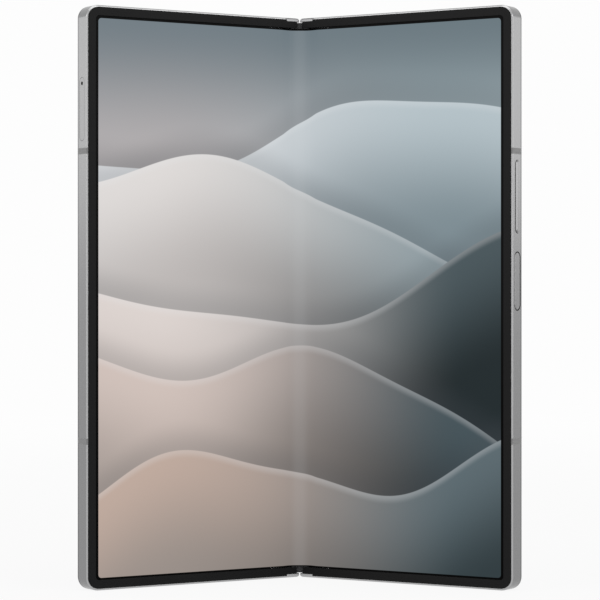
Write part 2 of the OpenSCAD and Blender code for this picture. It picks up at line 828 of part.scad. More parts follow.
// Chamfered glass panel over the back of a half
module back_glass(front) {
    hull() {
        slab(front, half_t - 0.12) back_outline();
        slab(front, half_t) rounded(2.07, half_w - 1.12, 1.12, body_h - 1.12, corner_r - 1.12);
    }
}

module cover_display_glass() {
    color([0.06, 0.06, 0.07]) in_half(-1) back_glass(back_seat + 0.2);
}

module cover_display_panel() {
    color([0.1, 0.1, 0.12]) in_half(-1) difference() {
        slab(back_seat, back_seat + 0.2) rounded(2.6, half_w - 1.6, 1.7, body_h - 1.7, corner_r - 1.6);
        depth_rod(cover_camera_x, cover_camera_z, 4, half_t, 1.9);
    }
}

lens_zs = [for (i = [0:2]) lens_low_z + lens_pitch * i];
flash_x = 43;
flash_z = lens_low_z + 2 * lens_pitch;
island_r = 7.8;

module rear_glass() {
    color([0.3, 0.31, 0.33]) in_half(1) difference() {
        back_glass(back_seat);
        for (z = lens_zs) depth_rod(island_x, z, 4, half_t + 1, 5.3);
        depth_rod(flash_x, flash_z, 4, half_t + 1, 2.45);
    }
}

module stadium(w, h) {
    square([w - h, h], center = true);
    for (side = [-1, 1]) translate([side * (w - h) / 2, 0]) circle(h / 2, $fn = round_fn);
}

module camera_island() {
    color([0.32, 0.33, 0.35]) in_half(1) difference() {
        slab(half_t, half_t + 0.75)
            rounded(island_x - island_r, island_x + island_r, lens_zs[0] - island_r,
                lens_zs[2] + island_r, island_r - 0.01);
        for (z = lens_zs) depth_rod(island_x, z, 5, 7, 5.3);
    }
}

module camera_rings() {
    color("dimgray") in_half(1) for (z = lens_zs)
        translate([island_x, half_t + 0.75, z]) rotate([-90, 0, 0])
            rotate_extrude($fn = 72)
                polygon([[5.2, 0], [ring_r, 0], [ring_r, 0.45], [ring_r - 0.25, 0.7], [5.6, 0.7],
                    [5.2, 0.3]]);
}

module camera_lenses() {
    color([0.05, 0.05, 0.07]) in_half(1) for (z = lens_zs)
        depth_rod(island_x, z, half_t + 0.55, half_t + 1, 5.17);
}

module camera_modules() {
    color([0.15, 0.15, 0.16]) in_half(1) for (z = lens_zs) difference() {
        union() {
            slab(cell_front, 4.4) rounded(island_x - 6.2, island_x + 6.2, z - 6.2, z + 6.2, 0.8);
            depth_rod(island_x, z, 4.3, half_t + 0.5, 5.1);
        }
        translate([island_x, half_t - 0.3, z]) rotate([-90, 0, 0])
            cylinder(0.81, r1 = 1.8, r2 = 4.2, $fn = round_fn);
    }
}

module camera_flash() {
    color("white") in_half(1) {
        depth_rod(flash_x, flash_z, 4.2, half_t, 2.4);
        slab(3.4, 4.2) rounded(flash_x - 2, flash_x + 2, flash_z - 2, flash_z + 2, 0.3);
    }
}

// ---- Port, loudspeaker, keys and card tray ----

port_y = 2.85;

module usb_port() {
    color("lightgray") in_half(1) translate([port_x, port_y, 0]) {
        difference() {
            translate([0, 0, 0.15]) linear_extrude(7.4) stadium(8.94, 3.16);
            translate([0, 0, -1]) linear_extrude(8.2) stadium(8.34, 2.56);
        }
        translate([-3.35, -0.35, 1]) cube([6.7, 0.7, 6.3]);
        translate([-4.4, -1.55, 7.5]) cube([8.8, 2.4, 2.4]);
    }
}

module loudspeaker() {
    color([0.2, 0.2, 0.2]) in_half(1) difference() {
        union() {
            slab(cell_front, 4.9) rounded(41.5, 60.5, wall + 0.3, 23, 1.5);
            slab(4.9, 5.05) rounded(44, 58, 6, 20, 1.2);
        }
        for (i = [0:5]) height_rod(43 + 2.4 * i, half_t / 2, 0, 4, 0.5);
    }
}

// Key with a flange, from flange_x inwards, that holds it behind the frame's wall
module key(width, z0, len, proud, flange_x) {
    edge_slot(flange_x - flange_t, half_w + proud - 0.2, edge_y, width, z0, len);
    edge_slot(flange_x, half_w + proud, edge_y, width - 0.4, z0 + 0.2, len - 0.4);
    block(flange_x - flange_t, flange_x, edge_y - flange_w / 2, edge_y + flange_w / 2,
        z0 - 0.6, z0 + len + 0.6);
}

module volume_key() {
    color("silver") in_half(1) {
        key(volume_w, volume_z, volume_len, key_proud, volume_flange_x);
        translate([volume_flange_x - flange_t, edge_y - volume_w / 2, volume_z + volume_len / 2])
            rotate([-90, 0, 0]) cylinder(volume_w, r = 0.3, $fn = round_fn);
    }
}

module power_key() {
    color("silver") in_half(1) key(power_w, power_z, power_len, 0.05, power_flange_x);
}

// Switch dome behind a key
module dome(z, flange_x) {
    translate([switch_face, edge_y, z]) rotate([0, 90, 0])
        cylinder(flange_x - flange_t - dome_clear - switch_face, r = dome_r, $fn = round_fn);
}

module key_switches() {
    color("gray") in_half(1) {
        block(63.2, switch_face, edge_y - 1.1, edge_y + 1.1, power_z - 0.5, volume_z + volume_len + 0.5);
        dome(power_z + power_len / 2, power_flange_x);
        for (z = [volume_z + 4.5, volume_z + volume_len - 4.5]) dome(z, volume_flange_x);
    }
}

module card_tray() {
    mid = tray_z + tray_len / 2;
    color("silver") in_half(-1) difference() {
        union() {
            edge_slot(half_w - 0.9, half_w, edge_y, tray_w, tray_z, tray_len);
            edge_slot(half_w - 2, half_w - 0.5, edge_y, tray_w - 0.5, tray_z + 0.3, tray_len - 0.6);
            block(51, half_w - 1.9, edge_y - 0.45, edge_y + 0.45, mid - 6.9, mid + 6.9);
        }
        block(52, 63.2, edge_y - 0.1, edge_y + 2, mid - 6.1, mid + 6.1);
        block(53, 62.4, edge_y - 2, edge_y + 2, mid - 5.3, mid + 5.3);
        translate([half_w - 3, edge_y, tray_z + tray_len - 1.55]) rotate([0, 90, 0])
            cylinder(4, r = 0.42, $fn = round_fn);
    }
}

module card_reader() {
    mid = tray_z + tray_len / 2;
    color("lightgray") in_half(-1) difference() {
        block(49.7, 63.8, edge_y - 1, edge_y + 0.9, mid - 8, mid + 8);
        block(50.6, 64, edge_y - 0.55, edge_y + 0.55, mid - 7, mid + 7);
        block(53, 61, edge_y, edge_y + 2, mid - 5, mid + 5);
    }
}

spine_cover();
hinge_cradles();
sync_gear_housings();
sync_gear_pins();
hinge_end_caps();
hinge_friction_springs();
spine_screws();
display_support_plate();
display_fold_zone();
hinge_flex_cables();
sync_gear_left();
sync_gear_right();
left_frame();
left_display_panel();
left_bezel_trim();
left_hinge_arms();
left_hinge_pins();
cover_display_glass();
cover_display_panel();
cover_camera();
earpiece_speaker();
left_battery();
left_circuit_board();
card_reader();
vibration_motor();
left_magnets();
left_antenna_breaks();
left_screws();
left_wing_plate();
card_tray();
right_frame();
right_display_panel();
right_bezel_trim();
right_hinge_arms();
right_hinge_pins();
rear_glass();
camera_island();
camera_rings();
camera_lenses();
camera_modules();
camera_flash();
inner_camera();
right_battery();
main_circuit_board();
shield_cans();
charging_coil();
usb_port();
loudspeaker();
key_switches();
right_magnets();
right_antenna_breaks();
right_screws();
right_wing_plate();
volume_key();
power_key();
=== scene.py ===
import math

import bmesh
import bpy
from mathutils import Matrix, Vector


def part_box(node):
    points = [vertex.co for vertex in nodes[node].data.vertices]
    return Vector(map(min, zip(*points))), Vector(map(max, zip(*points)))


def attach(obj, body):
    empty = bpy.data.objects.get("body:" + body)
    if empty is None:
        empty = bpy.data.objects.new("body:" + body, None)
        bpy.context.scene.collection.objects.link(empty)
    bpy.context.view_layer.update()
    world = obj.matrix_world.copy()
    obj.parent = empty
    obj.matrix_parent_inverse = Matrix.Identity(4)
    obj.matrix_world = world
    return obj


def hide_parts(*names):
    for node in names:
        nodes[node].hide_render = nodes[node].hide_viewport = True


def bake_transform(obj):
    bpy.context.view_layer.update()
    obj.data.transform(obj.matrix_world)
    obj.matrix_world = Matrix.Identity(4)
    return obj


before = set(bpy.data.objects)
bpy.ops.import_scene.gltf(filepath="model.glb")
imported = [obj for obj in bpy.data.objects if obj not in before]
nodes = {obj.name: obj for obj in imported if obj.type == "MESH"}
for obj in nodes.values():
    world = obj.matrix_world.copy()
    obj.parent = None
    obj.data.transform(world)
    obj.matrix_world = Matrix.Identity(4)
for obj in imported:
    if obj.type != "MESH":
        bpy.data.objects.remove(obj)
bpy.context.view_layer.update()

# ---- Spine cover ----
# The curved cover behind the fold: an aluminium extrusion of two joined arcs, open
# towards the screen. Notches in its long lips let the hinge's arms and gears pass.

# Every piece is shaped flat, in millimetres: x from the fold, y back from the screen's
# face, z up. A half then turns by FOLD about its own axis, at AXIS_X and AXIS_Y, and
# DEPTH_SHIFT is how far the screen's face at the fold stands behind the origin.
FOLD = math.radians(32.3)
AXIS_X, AXIS_Y = 1.73, 1.27
DEPTH_SHIFT = 14.413855
TO_SPINE = Matrix.Scale(0.001, 4) @ Matrix.Translation((0, DEPTH_SHIFT, 0))
TO_HALF = (TO_SPINE @ Matrix.Translation((AXIS_X, AXIS_Y, 0)) @ Matrix.Rotation(-FOLD, 4, "Z")
           @ Matrix.Translation((-AXIS_X, -AXIS_Y, 0)))
SPINE_ENDS, LIP = (1.1, 152.4), 2.2
# Heights between which the hinge's arms and gears reach from the spine to the halves
LEFT_ARMS = [(middle - 6, middle - 1.8) for middle in (17, 76.75, 136.5)]
RIGHT_ARMS = [(middle + 1.8, middle + 6) for middle in (17, 76.75, 136.5)]
GEARS = [(low - 0.1, low + 2.1) for low in (33, 118.5)]


def only(piece):
    """Selects one piece and nothing else."""
    bpy.ops.object.select_all(action="DESELECT")
    piece.select_set(True)
    bpy.context.view_layer.objects.active = piece


def block(name, x, y, z):
    """A cuboid between pairs of planes."""
    bpy.ops.object.select_all(action="DESELECT")
    bpy.ops.mesh.primitive_cube_add(size=1, location=(sum(x) / 2, sum(y) / 2, sum(z) / 2),
                                    scale=(x[1] - x[0], y[1] - y[0], z[1] - z[0]))
    bpy.ops.object.transform_apply(location=True, rotation=True, scale=True)
    piece = bpy.context.object
    piece.name = name
    return piece


def work(piece, pick, action):
    """Selects the edges whose ends pick() accepts, and does the action on them in edit mode."""
    only(piece)
    bpy.ops.object.mode_set(mode="EDIT")
    bpy.ops.mesh.select_mode(type="EDGE")
    bpy.ops.mesh.select_all(action="DESELECT")
    sheet = bmesh.from_edit_mesh(piece.data)
    for edge in sheet.edges:
        if pick(edge.verts[0].co, edge.verts[1].co):
            edge.select_set(True)
    sheet.select_flush_mode()
    bmesh.update_edit_mesh(piece.data)
    action()
    bpy.ops.object.mode_set(mode="OBJECT")


def soften(piece, pick, width, steps=3):
    """Bevels the edges that pick() accepts: a chamfer in one step, a round edge in more."""
    work(piece, pick,
         lambda: bpy.ops.mesh.bevel(offset=width, segments=steps, profile=0.5, affect="EDGES"))


def runs(a, b, axis):
    """Whether an edge runs along an axis."""
    return all(abs(a[i] - b[i]) < 1e-4 for i in range(3) if i != axis)


def lies(a, b, axis, *levels):
    """Whether both ends of an edge are in one of the planes across an axis."""
    return any(abs(a[axis] - level) < 1e-4 and abs(b[axis] - level) < 1e-4 for level in levels)


def carve(piece, *tools, how="DIFFERENCE"):
    """Cuts each tool out of the piece, or joins it on, and throws the tool away."""
    for tool in tools:
        only(piece)
        modifier = piece.modifiers.new("carve", "BOOLEAN")
        modifier.object = tool
        modifier.operation = how
        modifier.solver = "EXACT"
        bpy.ops.object.modifier_apply(modifier=modifier.name)
        bpy.data.objects.remove(tool)
    return piece


def stadium(name, x, y, z, axis, steps=10):
    """A bar along the given axis, whose section has round ends."""
    piece = block(name, x, y, z)
    spans = [pair[1] - pair[0] for i, pair in enumerate((x, y, z)) if i != axis]
    soften(piece, lambda a, b: runs(a, b, axis), min(spans) / 2 - 0.01, steps)
    return piece


def stand(piece, body, slot, *replaced, side=0):
    """Takes a finished piece to its place on the standing phone. Side is 1 or -1 on a half."""
    only(piece)
    bpy.ops.object.shade_smooth_by_angle(angle=math.radians(30))
    piece.data.transform(TO_HALF if side else TO_SPINE)
    if side < 0:
        piece.data.transform(Matrix.Scale(-1, 4, (1, 0, 0)))
        piece.data.flip_normals()
    modifier = piece.modifiers.new("even", "WEIGHTED_NORMAL")
    modifier.keep_sharp = True
    bpy.ops.object.modifier_apply(modifier=modifier.name)
    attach(piece, body)
    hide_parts(*replaced)
    return piece


class Tone:
    """A shader value that takes part in plain arithmetic."""

    def __init__(self, recipe, socket):
        self.recipe, self.socket = recipe, socket

    def maths(self, operation, a, b=0.0):
        return self.recipe.node("ShaderNodeMath", {0: a, 1: b}, {"operation": operation})

    def __add__(self, other):
        return self.maths("ADD", self, other)

    def __sub__(self, other):
        return self.maths("SUBTRACT", self, other)

    def __rsub__(self, other):
        return self.maths("SUBTRACT", other, self)

    def __mul__(self, other):
        return self.maths("MULTIPLY", self, other)

    def __pow__(self, other):
        return self.maths("POWER", self, other)

    def __abs__(self):
        return self.maths("ABSOLUTE", self)

    __radd__, __rmul__ = __add__, __mul__

    def sine(self):
        return self.maths("SINE", self)

    def at_least(self, other):
        return self.maths("MAXIMUM", self, other)

    def at_most(self, other):
        return self.maths("MINIMUM", self, other)

    def rise(self, low, high):
        """0 below low, 1 above high, and smooth between them."""
        return self.recipe.node("ShaderNodeMapRange", {"Value": self, "From Min": low, "From Max": high},
                                {"interpolation_type": "SMOOTHSTEP"})


class Recipe:
    """A tree of shader nodes, added to node by node."""

    def __init__(self, tree):
        self.tree = tree

    def node(self, kind, values=None, settings=None, output=0):
        """Adds a node with its settings and the values or links of its inputs, and gives one output."""
        made = self.tree.nodes.new(kind)
        for key, value in (settings or {}).items():
            setattr(made, key, value)
        for key, value in (values or {}).items():
            self.feed(made.inputs[key], value)
        return Tone(self, made.outputs[output])

    def feed(self, socket, value):
        """Links a shader value to an input, or sets the input to a constant."""
        if isinstance(value, Tone):
            self.tree.links.new(value.socket, socket)
        else:
            socket.default_value = value

    def blend(self, share, a, b):
        """Colour a where the share is 0, and colour b where it is 1."""
        return self.node("ShaderNodeMix", {0: share, 6: a, 7: b}, {"data_type": "RGBA"}, 2)


class Finish(Recipe):
    """A procedural material. Its constants are set on the shader's own sockets."""

    def __init__(self, name, **constants):
        self.material = bpy.data.materials.new(name)
        self.material.use_nodes = True
        super().__init__(self.material.node_tree)
        self.shader = self.tree.nodes["Principled BSDF"]
        self.give(**constants)

    def give(self, **values):
        """Feeds inputs of the surface shader, named with _ for each space."""
        for socket, value in values.items():
            self.feed(self.shader.inputs[socket.replace("_", " ")], value)
        return self

    def place(self, output="Object"):
        """Where a point of the surface is, in metres, or on the piece's own map."""
        return self.node("ShaderNodeTexCoord", output=output)

    def parts(self, vector):
        """The three numbers of a vector."""
        return [self.node("ShaderNodeSeparateXYZ", {0: vector}, output=i) for i in range(3)]

    def distance(self, spot):
        """How far a point of the surface is from a spot, in metres."""
        return self.node("ShaderNodeVectorMath", {0: self.place(), 1: spot}, {"operation": "DISTANCE"},
                         "Value")

    def noise(self, scale, detail, stretch=(1, 1, 1)):
        """Cloudy noise, finer for a larger scale, and drawn out along an axis by a small stretch."""
        vector = self.node("ShaderNodeMapping", {"Vector": self.place(), "Scale": stretch})
        return self.node("ShaderNodeTexNoise", {"Vector": vector, "Scale": scale, "Detail": detail})

    def relief(self, height, metres, strength):
        """Bumps the surface, by so many metres where the height is 1."""
        return self.give(Normal=self.node(
            "ShaderNodeBump", {"Strength": strength, "Distance": metres, "Height": height}))

    def on(self, *pieces):
        """Puts the finish on all of each piece."""
        for piece in pieces:
            if not piece.material_slots:
                piece.data.materials.append(None)
            for place in piece.material_slots:
                place.material = self.material
        return self


def shade_of(colour, share):
    """A colour made lighter or darker, as a shader takes it."""
    return tuple(c * share for c in colour) + (1,)


def blasted(name, rough):
    """Bead-blasted and anodised metal, with a fine grain and faint rubbed patches."""
    finish = Finish(name, Metallic=1.0)
    grain = finish.noise(9000, 1)
    rub = finish.noise(240, 4, (1, 1, 0.25)).rise(0.55, 0.75)
    finish.give(Roughness=rough + (grain - 0.5) * 0.12 - rub * 0.03)
    return finish.relief(grain, 0.00001, 0.2)


def satin_metal(name, colour, rough):
    """Blasted metal with soft clouds of colour."""
    finish = blasted(name, rough)
    cloud = finish.noise(35, 3).rise(0.3, 0.7)
    return finish.give(Base_Color=finish.blend(cloud, shade_of(colour, 0.95), shade_of(colour, 1.05)))


spine = stadium("spine_shell", (-5.26, 5.26), (-2.26, 4.8), SPINE_ENDS, 2, 20)
carve(spine, stadium("tool", (-4.73, 4.73), (-1.73, 4.27), (0, 154), 2, 20),
      block("tool", (-8, 8), (-8, LIP), (0, 154)))
for span in RIGHT_ARMS + GEARS:
    carve(spine, block("tool", (3.6, 6), (1, 3.4), span))
for span in LEFT_ARMS + GEARS:
    carve(spine, block("tool", (-6, -3.6), (1, 3.4), span))
soften(spine, lambda a, b: lies(a, b, 2, *SPINE_ENDS) or (lies(a, b, 1, LIP) and runs(a, b, 2)), 0.08, 2)
satin_metal("spine_anodised", (0.235, 0.235, 0.239), 0.25).on(
    stand(spine, "hinge_spine", "satin_aluminium", "spine_cover"))


def sintered(name, colour, rough):
    """Sintered and tumbled steel: fine pits, and a dull sheen that changes from place to place."""
    finish = Finish(name, Metallic=1.0)
    pits = finish.noise(4200, 3)
    wear = finish.noise(500, 4).rise(0.4, 0.7)
    finish.give(Base_Color=finish.blend(wear, shade_of(colour, 0.7), shade_of(colour, 1)),
                Roughness=rough + pits * 0.15 - wear * 0.1)
    return finish.relief(pits.rise(0.35, 0.6), 0.00002, 0.5)


sintered("hinge_sintered", (0.3, 0.3, 0.31), 0.38).on(
    *(nodes[n] for n in ("hinge_cradles", "sync_gear_housings", "sync_gear_left", "sync_gear_right",
                         "left_hinge_arms", "right_hinge_arms")))
sintered("pin_ground", (0.48, 0.48, 0.49), 0.22).on(
    *(nodes[n] for n in ("sync_gear_pins", "left_hinge_pins", "right_hinge_pins",
                         "hinge_friction_springs", "spine_screws", "left_screws", "right_screws")))

# ---- Support plate and wing plates ----
# Thin rolled steel sheets under the bending stretch of the screen. The middle one stays
# with the spine, and the wings tip out of the way as the phone shuts. The strip of key
# switches is pressed from the same kind of sheet.
sheet_steel = Finish("sheet_rolled", Metallic=1.0)
rolled = sheet_steel.noise(700, 3, (6, 6, 0.05))
sheet_steel.give(Base_Color=sheet_steel.blend(rolled, (0.42, 0.42, 0.42, 1), (0.58, 0.58, 0.57, 1)),
                 Roughness=0.22 + rolled * 0.22)
sheet_steel.relief(rolled, 0.000004, 0.5)
sheet_steel.on(nodes["display_support_plate"], nodes["left_wing_plate"], nodes["right_wing_plate"],
               nodes["key_switches"])

# ---- End caps ----
# Dark moulded blocks that close the spine at the top and the bottom and show between the
# trims. Each has two round bosses with holes for the pivot pins.
HEIGHT = 153.5
CAP_LOW, CAP_HIGH = 1.1, 2.9


def rod(name, foot, tip, radius, sides=32):
    """A round bar from foot to tip, along one of the axes."""
    foot, tip = Vector(foot), Vector(tip)
    way = tip - foot
    turn = (0, 0, 0)
    if way.x:
        turn = (0, math.pi / 2, 0)
    elif way.y:
        turn = (math.pi / 2, 0, 0)
    bpy.ops.object.select_all(action="DESELECT")
    bpy.ops.mesh.primitive_cylinder_add(vertices=sides, radius=radius, depth=way.length,
                                        location=(foot + tip) / 2, rotation=turn)
    bpy.ops.object.transform_apply(location=True, rotation=True, scale=True)
    piece = bpy.context.object
    piece.name = name
    return piece


def twin(piece, name):
    """A copy of a piece, with a mesh of its own."""
    copy = piece.copy()
    copy.data = piece.data.copy()
    copy.name = name
    bpy.context.scene.collection.objects.link(copy)
    return copy


cap = stadium("cap", (-4.7, 4.7), (-1.7, 4.24), (CAP_LOW, CAP_HIGH), 2, 16)
carve(cap, block("tool", (-8, 8), (-8, 1.7), (0, 5)))
for x in (-AXIS_X, AXIS_X):
    carve(cap, rod("tool", (x, AXIS_Y, CAP_LOW), (x, AXIS_Y, CAP_HIGH), 1.05), how="UNION")
    carve(cap, rod("tool", (x, AXIS_Y, 0), (x, AXIS_Y, 4), 0.53))
soften(cap, lambda a, b: lies(a, b, 2, CAP_LOW), 0.08, 2)
top_cap = twin(cap, "end_cap_top")
top_cap.data.transform(Matrix.Translation((0, 0, HEIGHT)) @ Matrix.Scale(-1, 4, (0, 0, 1)))
top_cap.data.flip_normals()
cap.name = "end_cap_bottom"
cap_plastic = Finish("cap_moulded", Specular_IOR_Level=0.35)
moulded = cap_plastic.noise(3000, 2)
mottle = cap_plastic.noise(300, 2)
cap_plastic.give(Base_Color=cap_plastic.blend(mottle, (0.09, 0.09, 0.093, 1), (0.12, 0.12, 0.124, 1)),
                 Roughness=0.45 + moulded * 0.15)
cap_plastic.relief(moulded, 0.00001, 0.4)
for piece in (cap, top_cap):
    cap_plastic.on(stand(piece, "hinge_spine", "end_cap_plastic", "hinge_end_caps"))

# ---- Flex cables ----
# Amber polyimide ribbons with copper tracks under the film. They run across the spine
# from one half's board to the other's, in front of the cover's lips.
CABLE_W, CABLE_ZS = 7, (50, 103)
CABLE_T = 0.14


def ease(t):
    """0 to 1 as t goes from 0 to 1, slow at both ends."""
    t = min(max(t, 0), 1)
    return t * t * (3 - 2 * t)


def turned_by(x, y, angle):
    """A point of the flat sheet after a turn about the half's fold axis."""
    dx, dy = x - AXIS_X, y - AXIS_Y
    return Vector((AXIS_X + dx * math.cos(angle) + dy * math.sin(angle),
                   AXIS_Y - dx * math.sin(angle) + dy * math.cos(angle)))


def bend(piece, side, start, flat_end, node):
    """Folds a flat piece from start, on the spine, to flat_end, on the half, and bends it between them.

    How far a point has turned depends on where it comes to lie, so it is worked out in rounds.
    """
    start, end = Vector(start), turned_by(*flat_end, FOLD)
    way = end - start
    for vertex in piece.data.vertices:
        flat = vertex.co.copy()
        share = ease(flat.x / flat_end[0])
        for _ in range(80):
            bent = turned_by(flat.x, flat.y, FOLD * share)
            share = ease((bent - start).dot(way) / way.length_squared)
        vertex.co = (side * bent.x, bent.y, flat.z)
    if side < 0:
        piece.data.flip_normals()
    only(piece)
    bpy.ops.object.shade_smooth_by_angle(angle=math.radians(30))
    piece.data.transform(TO_SPINE)
    "right_half" if side > 0 else "left_half"
    TO_SPINE @ Vector((side * start.x, start.y, 0))
    TO_SPINE @ Vector((side * end.x, end.y, 0))
    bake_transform(piece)
    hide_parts(node)


def repeat(piece, *rises):
    """Adds a copy of the piece at each height above it, all in one mesh."""
    copies = [twin(piece, "copy") for _ in rises]
    for copy, rise in zip(copies, rises):
        copy.data.transform(Matrix.Translation((0, 0, rise)))
    only(piece)
    for copy in copies:
        copy.select_set(True)
    bpy.ops.object.join()
    return piece


# The ribbon's route from the fold to the board, with its corners cut twice
route = ((0, 3.6), (0.9, 3.6), (1.8, 3.5), (2.8, 3.2), (3.7, 2.6), (4.25, 2.05), (4.85, 1.9), (5.35, 2),
         (5.55, 2.4), (5.8, 2.75), (6.3, 2.8), (10, 2.8), (13.5, 2.8), (14.6, 2.6), (15.8, 2.05),
         (18.5, 2.05))
run = [Vector(point) for point in route]
for _ in range(2):
    run = [run[0]] + [a.lerp(b, t) for a, b in zip(run, run[1:]) for t in (0.25, 0.75)] + [run[-1]]
last = len(run) - 1
cable = block("cable_right", (0, last), (-CABLE_T / 2, CABLE_T / 2), (CABLE_ZS[0], CABLE_ZS[0] + CABLE_W))
work(cable, lambda a, b: runs(a, b, 0), lambda: bpy.ops.mesh.subdivide(number_cuts=last - 1))
for vertex in cable.data.vertices:
    i = round(vertex.co.x)
    way = (run[min(i + 1, last)] - run[max(i - 1, 0)]).normalized()
    spot = run[i] + Vector((-way.y, way.x)) * vertex.co.y
    vertex.co = (spot.x, spot.y, vertex.co.z)
repeat(cable, CABLE_ZS[1] - CABLE_ZS[0])
other_cable = twin(cable, "cable_left")
ribbon = Finish("ribbon_polyimide", Roughness=0.32, Coat_Weight=0.4)
up = ribbon.parts(ribbon.place())[2]
tracks = (up * 9000).sine().rise(-0.2, 0.3)
ribbon.give(Base_Color=ribbon.blend(tracks, (0.35, 0.13, 0.015, 1), (0.62, 0.27, 0.05, 1)))
ribbon.relief(tracks, 0.00002, 0.4)
for piece, side in ((cable, 1), (other_cable, -1)):
    bend(piece, side, (0.9, 3.6), (5.45, 2.2), "hinge_flex_cables")
    ribbon.on(piece)

# ---- Frames ----
# Each half's frame is milled from one aluminium bar: side walls with a fine chamfer at
# the front and the back, a mid plate, and bays for the screen, the hinge and the cells.
HALF_W, DEPTH = 66.3, 5.6
CORNER, RIM = 3.5, 0.42
FRONT_CUT, BACK_CUT = 0.3, 0.5
SATIN = (0.235, 0.235, 0.237)
# The tray and the keys in the side walls: their middle behind the screen's face, and
# their widths and heights
KEY_LINE = 2.7
TRAY_W, TRAY_Z = 2.6, (117.9, 134.5)
VOLUME_W, VOLUME_Z = 1.8, (93.7, 112.8)
POWER_W, POWER_Z = 3.0, (73.6, 88.6)

blank = block("frame_blank", (0.15, HALF_W), (0, DEPTH), (0, HEIGHT))
soften(blank, lambda a, b: runs(a, b, 1) and a.x > 60, CORNER, 18)
soften(blank, lambda a, b: runs(a, b, 1) and a.x < 1, 1.2, 12)
soften(blank, lambda a, b: lies(a, b, 1, 0), FRONT_CUT, 1)
soften(blank, lambda a, b: lies(a, b, 1, DEPTH), BACK_CUT, 1)
soften(blank, lambda a, b: lies(a, b, 1, 0, FRONT_CUT, DEPTH - BACK_CUT, DEPTH), 0.05, 2)


def pan(x, y, z, radius, first=-100):
    """A cutter with round corners in the plane of the screen. The corners beyond first are rounded."""
    piece = block("tool", x, y, z)
    soften(piece, lambda a, b: runs(a, b, 1) and a.x > first, radius, 12)
    return piece


def opening(width, z, gap, inner):
    """A cutter through the side wall for a tray or key, with a gap all round it."""
    half = width / 2 + gap
    return stadium("tool", (inner, 68), (KEY_LINE - half, KEY_LINE + half), (z[0] - gap, z[1] + gap), 0)


def drill(piece, x, z, radius, count=1):
    """Drills one or more sound holes, 2.4 mm apart, through the lower or the upper edge."""
    for step in range(count):
        spot = x + 2.4 * step
        carve(piece, rod("tool", (spot, DEPTH / 2, z[0]), (spot, DEPTH / 2, z[1]), radius))


# The trim's seat, and a quarter round at the fold, where the two halves roll past each other
seat = pan((1.57, HALF_W - RIM), (-1, 0.1), (RIM, HEIGHT - RIM), CORNER - RIM, 60)
carve(seat, block("tool", (0, 4.72), (-2, 1), (0, 0.87)), block("tool", (0, 4.72), (-2, 1), (152.63, 154)))
roll = block("tool", (-1, AXIS_X), (-1, AXIS_Y), (-1, 154.5))
carve(roll, rod("tool", (AXIS_X, AXIS_Y, -2), (AXIS_X, AXIS_Y, 156), 1.6, 64))
carve(blank, seat, roll)
# The screen's pocket, the hollow behind the mid plate, and its shallower stretch by the hinge
carve(blank, pan((-2, 65), (-1, 0.5), (1.9, 151.6), 2),
      pan((10.3, 64.9), (1, 5.11), (1.5, 152), 2),
      block("tool", (6.3, 10.7), (2.45, 5.11), (1.5, 152)))
# The wing plate's bay, the spine's bay with a thin rail left behind it, and the back glass's seat
carve(blank, block("tool", (4.7, 9.7), (-1, 1.95), (1.9, 151.6)),
      block("tool", (-1, 5.7), (-1, 5.05), (0.95, 152.55)),
      block("tool", (1.9, 5.7), (4, 5.11), (0.95, 152.55)),
      pan((1.9, 65.35), (5.1, 7), (0.95, 152.55), 2.55))
# Holes for the pivot pins and the wing plate's pins
for low in (0.45, 151.1):
    carve(blank, rod("tool", (AXIS_X, AXIS_Y, low), (AXIS_X, AXIS_Y, low + 1.95), 0.52))
for low in (1, 150.6):
    carve(blank, rod("tool", (9.2, 1, low), (9.2, 1, low + 1.9), 0.28, 16))
# Antenna gaps, and the ways through to the hollow for the cables, the gears and the arms
for low in (38.3, 114.4):
    carve(blank, block("tool", (63.9, 68), (-1, 7), (low, low + 1.6)))
for low in CABLE_ZS:
    carve(blank, block("tool", (4.7, 7.3), (2.45, 3.2), (low - 0.6, low + CABLE_W + 0.6)))
for span in GEARS:
    carve(blank, block("tool", (4.7, 7.3), (2.45, 3.3), span))
right = twin(blank, "frame_right")
left = blank
left.name = "frame_left"
for piece, arms in ((left, LEFT_ARMS), (right, RIGHT_ARMS)):
    for span in arms:
        carve(piece, block("tool", (4.7, 7.3), (2.45, 3.3), span))
# The tray's opening, those of the keys with room for their flanges, and the charging port's mouth
carve(left, opening(TRAY_W, TRAY_Z, 0.06, 62.3))
for width, z, gap in ((VOLUME_W, VOLUME_Z, 0.12), (POWER_W, POWER_Z, 0.28)):
    carve(right, opening(width, z, gap, 64.3),
          block("tool", (64.3, 65.35), (1.35, 4.05), (z[0] - gap - 0.75, z[1] + gap + 0.75)))
carve(right, stadium("tool", (28.65, 37.75), (1.19, 4.51), (-1, 3), 2))
# Microphones, earpiece and loudspeaker
LOWER_EDGE, UPPER_EDGE = (-1, 3), (150, 155)
drill(left, 20, LOWER_EDGE, 0.5)
drill(right, 22, LOWER_EDGE, 0.4)
drill(right, 46, UPPER_EDGE, 0.4)
drill(left, 38, UPPER_EDGE, 0.55, 5)
drill(right, 43, LOWER_EDGE, 0.6, 6)
